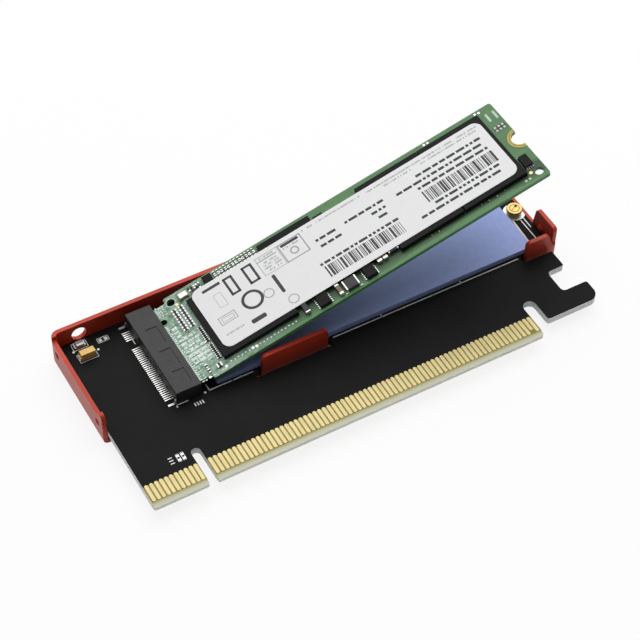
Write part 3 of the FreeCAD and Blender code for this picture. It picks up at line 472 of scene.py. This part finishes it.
# The line at x = 97.0, along the card's edge, is not print: it is a painted highlight of that edge.
for a, b in (((20.35, 19.0), (25.0, 19.0)), ((25.5, 19.0), (29.6, 19.0)), ((47.3, 18.95), (89.8, 18.85)),
             ((58.2, 18.95), (58.2, 19.45)), ((76.4, 18.9), (76.4, 19.4)), ((20.3, 19.0), (20.3, 20.5)),
             ((13.2, 18.75), (15.6, 18.75)), ((13.2, 18.75), (13.2, 18.3)), ((13.0, 35.9), (13.0, 37.6)),
             ((96.2, 21.6), (96.2, 27.3)), ((97.0, 24.95), (97.0, 27.7))):
    silk.line(a, b, LINE, 0, INK)
for x, y in ((1.74, 39.62), (6.22, 38.04), (19.35, 18.9)):
    silk.disc(x, y, 0, INK, DOT_R)
for x0, x1, y0, y1 in ((8.72, 9.32, 6.85, 8.65), (7.77, 8.37, 6.85, 8.65), (6.95, 9.2, 39.35, 40.5),
                       (1.95, 4.95, 39.75, 41.55), (1.85, 5.65, 36.5, 38.6)):
    silk.box_frame(x0, x1, y0, y1, FRAME_LINE, 0, INK)
for i in range(3):
    y = 7.1 + 0.65 * i
    silk.line((6.3, y), (6.9, y), TICK_LINE, 0, INK)
for i in range(4):
    x = 16.4 + 0.55 * i
    silk.line((x, 16.9), (x, 17.5), TICK_LINE, 0, INK)
silk.make()
strip = on_card("board_bare_strip", "cream", "board_mask")
strip.line((94.35, 21.6), (94.7, 28.2), 0.34, 0, INK)
strip.make()
window = on_card("status_led_window", "led", "led_white")
window.slab(2.75, 4.15, 40.1, 40.55, 0.75, 0.77, 0.05)
window.make()
# Screw head: a flat dark ring of painted shade stands in for the recess round its drive.
SCREW_X, HEAD_TOP = 96.15, 1.3
drive_ring_shade = on_card("standoff_screw_recess_shade", "brass_recess_shade", "brass_standoff")
drive_ring_shade.ring(SCREW_X, CENTRE_Y, 0.92, 1.06, HEAD_TOP, HEAD_TOP + 0.01)
drive_ring_shade.make()

# ------------------------------------------------------------------ label printing
random.seed(11)
INK_LOW, INK_HIGH = LABEL_TOP, LABEL_TOP + 0.008
DASHES, DASH_H, DASH_GAP = (0.6, 1.3, 1.9), 0.6, 0.35
FINE_DASHES, FINE_H, FINE_PITCH, FINE_SKIP = (0.1, 0.2, 0.2), 0.42, 0.3, 0.14
BARS, BAR_GAPS = (0.12, 0.12, 0.22, 0.32, 0.5), (0.14, 0.14, 0.24, 0.34)
dark = on_module("label_print", "print", "label_paper")
grey = on_module("label_print_fine", "print_grey", "label_paper")


def print_row(piece, s, v, length):
    """Plain dashes where a row of print would be."""
    at = 0.0
    while at < length - DASHES[0]:
        width = random.choice(DASHES)
        right = min(at + width, length)
        piece.slab(s + at, s + right, v - DASH_H / 2, v + DASH_H / 2, INK_LOW, INK_HIGH, 0.08)
        at += width + DASH_GAP


def fine_row(piece, s, v, length):
    """Dashes where a row of fine print would be."""
    at = 0.0
    while at < length - 0.25:
        width = random.choice(FINE_DASHES)
        if random.random() > FINE_SKIP:
            piece.slab(s + at, s + at + width, v - FINE_H / 2, v + FINE_H / 2, INK_LOW, INK_HIGH)
        at += FINE_PITCH


def bar_rows(piece, s, v0, v1, length):
    """A block of plain upright bars of random width."""
    at = 0.0
    while at < length:
        width = random.choice(BARS)
        piece.slab(s + at, s + at + width, v0, v1, INK_LOW, INK_HIGH)
        at += width + random.choice(BAR_GAPS)


for s, v, length in ((57.2, 4.1, 15.0), (51.9, 2.65, 20.3), (56.0, 1.2, 16.2), (57.0, -3.65, 15.2),
                     (53.0, -5.1, 19.0), (33.7, 3.25, 5.1), (33.9, 1.5, 4.7), (40.4, 3.4, 8.8),
                     (45.65, 1.8, 3.5), (46.4, 0.25, 2.7), (31.6, -2.25, 17.7)):
    print_row(dark, s, v, length)
bar_rows(dark, 56.1, -2.8, 0.2, 15.9)
bar_rows(dark, 32.0, -5.9, -3.0, 17.3)
for s, v, length in ((32.4, 7.1, 14.1), (47.5, 7.0, 26.0), (51.1, 6.15, 6.4), (59.7, 6.15, 13.4),
                     (27.6, 5.6, 3.6), (22.2, 6.5, 3.8), (23.0, 5.15, 3.2), (22.6, 4.45, 3.8),
                     (22.4, 3.75, 3.9), (23.2, 3.0, 3.2), (9.2, -4.8, 4.0)):
    fine_row(grey, s, v, length)
# Plain outlines, rings and blocks in the places of the label's symbols.
for piece, s0, s1, v0, v1, width in (
        (grey, 21.85, 26.7, 2.3, 7.0, 0.12), (grey, 27.0, 31.9, 2.3, 6.95, 0.26),
        (grey, 11.2, 12.8, 1.3, 4.7, 0.08), (grey, 9.5, 13.0, -2.4, -0.6, 0.16),
        (grey, 10.0, 12.5, -1.95, -1.05, 0.1),
        (dark, 14.6, 16.2, 2.6, 6.7, 0.5), (dark, 18.8, 20.6, 2.6, 6.7, 0.5)):
    piece.box_frame(s0, s1, v0, v1, width, INK_LOW, INK_HIGH)
for piece, s, v, inner, outer in ((grey, 29.4, 4.1, 0.62, 0.92), (dark, 17.15, -0.76, 1.65, 2.25),
                                  (grey, 20.4, -1.5, 0.9, 1.1), (grey, 23.7, -5.6, 0.9, 1.1)):
    piece.ring(s, v, inner, outer, INK_LOW, INK_HIGH)
for s0, s1, v0, v1, radius in ((27.4, 31.4, 6.1, 6.75, 0.25), (9.85, 13.76, 6.35, 7.0, 0.05),
                               (22.65, 23.35, -3.2, 1.7, 0.3), (14.5, 17.7, -5.8, -4.8, 0.3)):
    dark.slab(s0, s1, v0, v1, INK_LOW, INK_HIGH, radius)
dark.line((21.9, 5.93), (26.1, 5.93), 0.14, INK_LOW, INK_HIGH)
dark.make()
grey.make()

# ------------------------------------------------ bare copper and small parts on the module
random.seed(5)
pale = on_module("module_traces", "pale_copper", "tinned_copper")
bright = on_module("module_pads", "tin", "tinned_copper")
tiny = on_module("module_tiny_parts", "ceramic_dark", "ceramic_tan")
gold_spot = on_module("module_test_spot", "cream_gold", "gold_plate")
# Places already taken by the module's own pieces: s0, s1, v0, v1.
TAKEN = ((5.2, 7.9, 8.1, 9.95), (2.6, 5.3, 7.9, 10.6), (2.5, 7.9, 0.9, 7.9), (0.0, 1.9, 5.1, 7.1),
         (1.9, 5.7, -9.9, -7.2), (6.3, 80.0, -8.9, 7.7), (11.2, 13.5, 8.1, 10.5), (23.5, 36.0, -1.2, 9.9),
         (35.9, 38.3, 6.1, 9.0), (46.0, 75.0, -8.8, 9.5))


def is_free(s, v, margin):
    return not any(s0 - margin < s < s1 + margin and v0 - margin < v < v1 + margin
                   for s0, s1, v0, v1 in TAKEN)


def scatter(s0, s1, v0, v1, pitch, kinds):
    """One small block in most cells of a grid, of a kind drawn by weight."""
    for i in range(int((s1 - s0) / pitch)):
        for j in range(int((v1 - v0) / pitch)):
            s = s0 + (i + 0.5 + random.uniform(-0.15, 0.15)) * pitch
            v = v0 + (j + 0.5 + random.uniform(-0.15, 0.15)) * pitch
            piece, length, width, height = random.choice(kinds)
            if piece and is_free(s, v, length / 2):
                piece.slab(s - length / 2, s + length / 2, v - width / 2, v + width / 2, 0, height)


scatter(0.4, 6.3, -10.7, 10.7, 0.62, ((pale, 0.50, 0.16, 0.015), (pale, 0.22, 0.40, 0.015), (None, 0, 0, 0),
                                      (bright, 0.22, 0.22, 0.02), (pale, 0.55, 0.22, 0.015)))
scatter(7.9, 11.1, 8.0, 10.6, 0.55, ((tiny, 0.34, 0.42, 0.30), (bright, 0.30, 0.34, 0.28),
                                     (pale, 0.30, 0.30, 0.015), (tiny, 0.42, 0.30, 0.30)))
scatter(13.6, 23.4, 7.9, 8.6, 0.5, ((tiny, 0.34, 0.34, 0.30), (bright, 0.28, 0.30, 0.28),
                                    (pale, 0.30, 0.30, 0.015)))
scatter(13.6, 23.4, 9.3, 9.75, 0.44, ((bright, 0.26, 0.26, 0.25), (tiny, 0.30, 0.24, 0.25),
                                      (pale, 0.30, 0.20, 0.015)))
scatter(38.4, 46.0, 8.0, 8.9, 0.8, ((tiny, 0.50, 0.40, 0.30), (None, 0, 0, 0), (None, 0, 0, 0)))
scatter(24.0, 45.8, -7.3, -5.6, 0.75, ((bright, 0.26, 0.30, 0.02), (tiny, 0.40, 0.30, 0.30),
                                       (None, 0, 0, 0)))
# Copper areas that run along the module towards the controller, and the pads at the mouth.
for k in range(11):
    v, at = 4.6 - 1.05 * k, 0.8 + random.uniform(0.0, 0.4)
    while at < 4.6:
        reach = random.uniform(0.5, 1.5)
        width = random.uniform(0.3, 0.75)
        if is_free(at + reach / 2, v, reach / 2):
            pale.slab(at, at + reach, v - width / 2, v + width / 2, 0, 0.018, 0.1)
        at += reach + random.uniform(0.12, 0.3)
for k in range(30):
    pale.slab(0.15, 0.55, 4.7 - 0.5 * k, 5.05 - 0.5 * k, 0, 0.02, 0.05)
# Copper under the two columns of chip parts.
for s in (3.45, 4.95):
    pale.slab(s - 0.6, s + 0.6, 1.5, 7.6, 0, 0.015, 0.1)
# Chip parts beside the controller, across the module.
for first in (0.6, -4.1):
    for k in range(8):
        v = first - 0.5 * k
        tiny.slab(5.45, 5.95, v - 0.14, v + 0.14, 0, 0.3)
        bright.slab(5.28, 5.45, v - 0.14, v + 0.14, 0, 0.3)
        bright.slab(5.95, 6.12, v - 0.14, v + 0.14, 0, 0.3)
# Small parts along the front edge.
for s, v in ((52.5, -9.02), (54.1, -9.04), (63.95, -8.95), (65.65, -9.03), (67.4, -9.1), (69.3, -8.95)):
    tiny.slab(s - 0.3, s, v - 0.15, v + 0.15, 0, 0.2)
    bright.slab(s + 0.05, s + 0.25, v - 0.12, v + 0.12, 0, 0.05)
# Dark solder mask round the plated spots at the far end.
tiny.slab(75.8, 78.35, 3.8, 5.25, 0, 0.012, 0.1)
# A row of plated holes along the front edge, two of them wider.
for k in range(19):
    radius = 0.32 if k in (6, 7) else 0.13
    bright.disc(7.2 + 0.8 * k, -9.75 + (0.0 if k % 2 else 0.12), 0, 0.02, radius, 10)
# Single plated spots along both edges.
for s, v in ((62.87, 10.4), (63.71, 10.4), (74.88, 10.35), (75.7, 10.2), (2.2, -10.3), (5.9, -10.1)):
    bright.slab(s - 0.24, s + 0.24, v - 0.24, v + 0.24, 0, 0.03, 0.06)
# Pins and solder beside the power parts.
for k in range(6):
    for s in (26.75, 29.65):
        bright.slab(s - 0.12, s + 0.12, -10.1 + 0.5 * k, -9.85 + 0.5 * k, 0, 0.12)
    for s in (37.25, 40.05):
        bright.slab(s - 0.12, s + 0.12, -10.0 + 0.45 * k, -9.75 + 0.45 * k, 0, 0.12)
for s0, s1 in ((32.55, 33.2), (35.5, 36.15)):
    bright.line((s0, -10.35), (s1, -10.35), 0.14, 0, 0.1)
    bright.line((s0, -7.75), (s1, -7.75), 0.14, 0, 0.1)
# Printed corner of the socket end.
for a, b in (((0.5, 9.7), (2.3, 9.7)), ((0.5, 7.6), (0.5, 9.7)), ((0.9, 8.0), (0.9, 9.3))):
    pale.line(a, b, 0.12, 0, 0.02)
gold_spot.disc(75.7, -8.6, 0.03, 0.04, 0.36, 20)
gold_spot.slab(4.35, 4.95, 7.85, 8.5, 0, 0.06, 0.15, 0.02)
for piece in (pale, bright, tiny, gold_spot):
    piece.make()
# Covered traces that follow the module's front edge.
traces = on_module("module_edge_traces", "trace_green", "module_mask")
for v, first, last in ((-10.55, 21.0, 76.0), (-10.2, 46.5, 72.5), (-9.85, 57.0, 71.0)):
    traces.line((first, v), (last, v), 0.13, 0, 0.012)
traces.make()
# Solder mask that parts the gold round the mounting notch.
PLATING_T = 0.03
ring_gap = on_module("mount_ring_gap", "module_mask", "module_mask")
for inner, outer in ((2.04, 2.2), (2.5, 2.78)):
    ring_gap.ring(MODULE_END, 0, inner, outer, 0, PLATING_T + 0.012, 90, 270)
ring_gap.make()

lid_base = on_module("crystal_base", "can_base", "crystal_can")
lid_base.slab(5.5, 7.7, 8.4, 9.9, 0, 0.3, 0.1)
lid_base.make()

# -------------------------------------------------------------------- stage, light
FLOOR_REACH = 3.0
FLOOR_DROP = 0.00002
FLOOR_COLOR, FLOOR_GLOW = (0.93, 0.93, 0.93, 1), 0.86
floor_mat, n, shader = principled("stage_floor", 0.9, specular=0.1)
shader.inputs["Base Color"].default_value = FLOOR_COLOR
path = n.add("ShaderNodeLightPath")
seen = n.math("MAXIMUM", path.outputs["Is Camera Ray"], path.outputs["Is Glossy Ray"])
glow = n.add("ShaderNodeEmission")
blend = n.add("ShaderNodeMixShader")
n.link(n.math("MULTIPLY", seen, FLOOR_GLOW), blend.inputs[0])
n.link(shader.outputs[0], blend.inputs[1])
n.link(glow.outputs[0], blend.inputs[2])
n.link(blend.outputs[0], floor_mat.node_tree.nodes["Material Output"].inputs["Surface"])
floor_mesh = bpy.data.meshes.new("stage_floor")
floor_mesh.from_pydata([(x, y, 0) for x, y in ((-FLOOR_REACH, -FLOOR_REACH), (FLOOR_REACH, -FLOOR_REACH),
                                               (FLOOR_REACH, FLOOR_REACH), (-FLOOR_REACH, FLOOR_REACH))],
                       [], [(0, 1, 2, 3)])
floor_mesh.materials.append(floor_mat)
floor = bpy.data.objects.new("stage_floor", floor_mesh)
bpy.context.scene.collection.objects.link(floor)
floor.location.z = -FLOOR_DROP

# The room is dark in front and near the horizon, and bright overhead and behind.
DARK, BRIGHT = 0.04, 0.85
LOW_RAYS, HIGH_RAYS, LEAN_BACK = 0.45, 1.05, 0.5
world = bpy.data.worlds.new("studio")
bpy.context.scene.world = world
world.use_nodes = True
w = Nodes(world.node_tree)
path = w.add("ShaderNodeLightPath")
seen = w.math("MAXIMUM", path.outputs["Is Camera Ray"], path.outputs["Is Transmission Ray"])
background = world.node_tree.nodes["Background"]
background.inputs["Color"].default_value = (1, 1, 1, 1)
split = w.add("ShaderNodeSeparateXYZ")
w.link(w.add("ShaderNodeTexCoord").outputs["Generated"], split.inputs[0])
height = w.math("MULTIPLY_ADD", split.outputs["Y"], LEAN_BACK, split.outputs["Z"])
w.link(w.math("MAXIMUM", seen, w.level(height, DARK, BRIGHT, LOW_RAYS, HIGH_RAYS)),
       background.inputs["Strength"])


def lamp(name, place, size, power):
    """A rectangular lamp, in metres and watts, that points at the object."""
    data = bpy.data.lights.new(name, "AREA")
    data.shape = "RECTANGLE"
    data.size, data.size_y = size
    data.energy = power
    obj = bpy.data.objects.new(name, data)
    bpy.context.scene.collection.objects.link(obj)
    obj.location = place
    obj.rotation_euler = (-Vector(place)).to_track_quat("-Z", "Y").to_euler()


lamp("key", (0.22, 0.36, 0.60), (1.2, 0.9), 6.1)
lamp("fill", (-0.25, -0.55, 0.35), (0.6, 0.4), 0.12)

# ------------------------------------------------------------------------- camera
# Turn and place of the lens that sees the object as it was measured, in the card's frame.
LENS_MM, SENSOR_MM = 108.69, 36.0
LENS_TURN = Vector((2.38022252, -0.61997413, 0.24984865))
LENS_PLACE = (-76.745, -183.774, 288.29)
lens = bpy.data.cameras.new("camera")
lens.lens, lens.sensor_width = LENS_MM, SENSOR_MM
camera = bpy.data.objects.new("camera", lens)
bpy.context.scene.collection.objects.link(camera)
right, down, ahead = Matrix.Rotation(LENS_TURN.length, 3, LENS_TURN.normalized())
pose = Matrix((right, -down, -ahead)).transposed().to_4x4()
pose.translation = card(*LENS_PLACE)
camera.matrix_world = pose
bpy.context.scene.camera = camera
bpy.context.scene.view_settings.view_transform = "Standard"
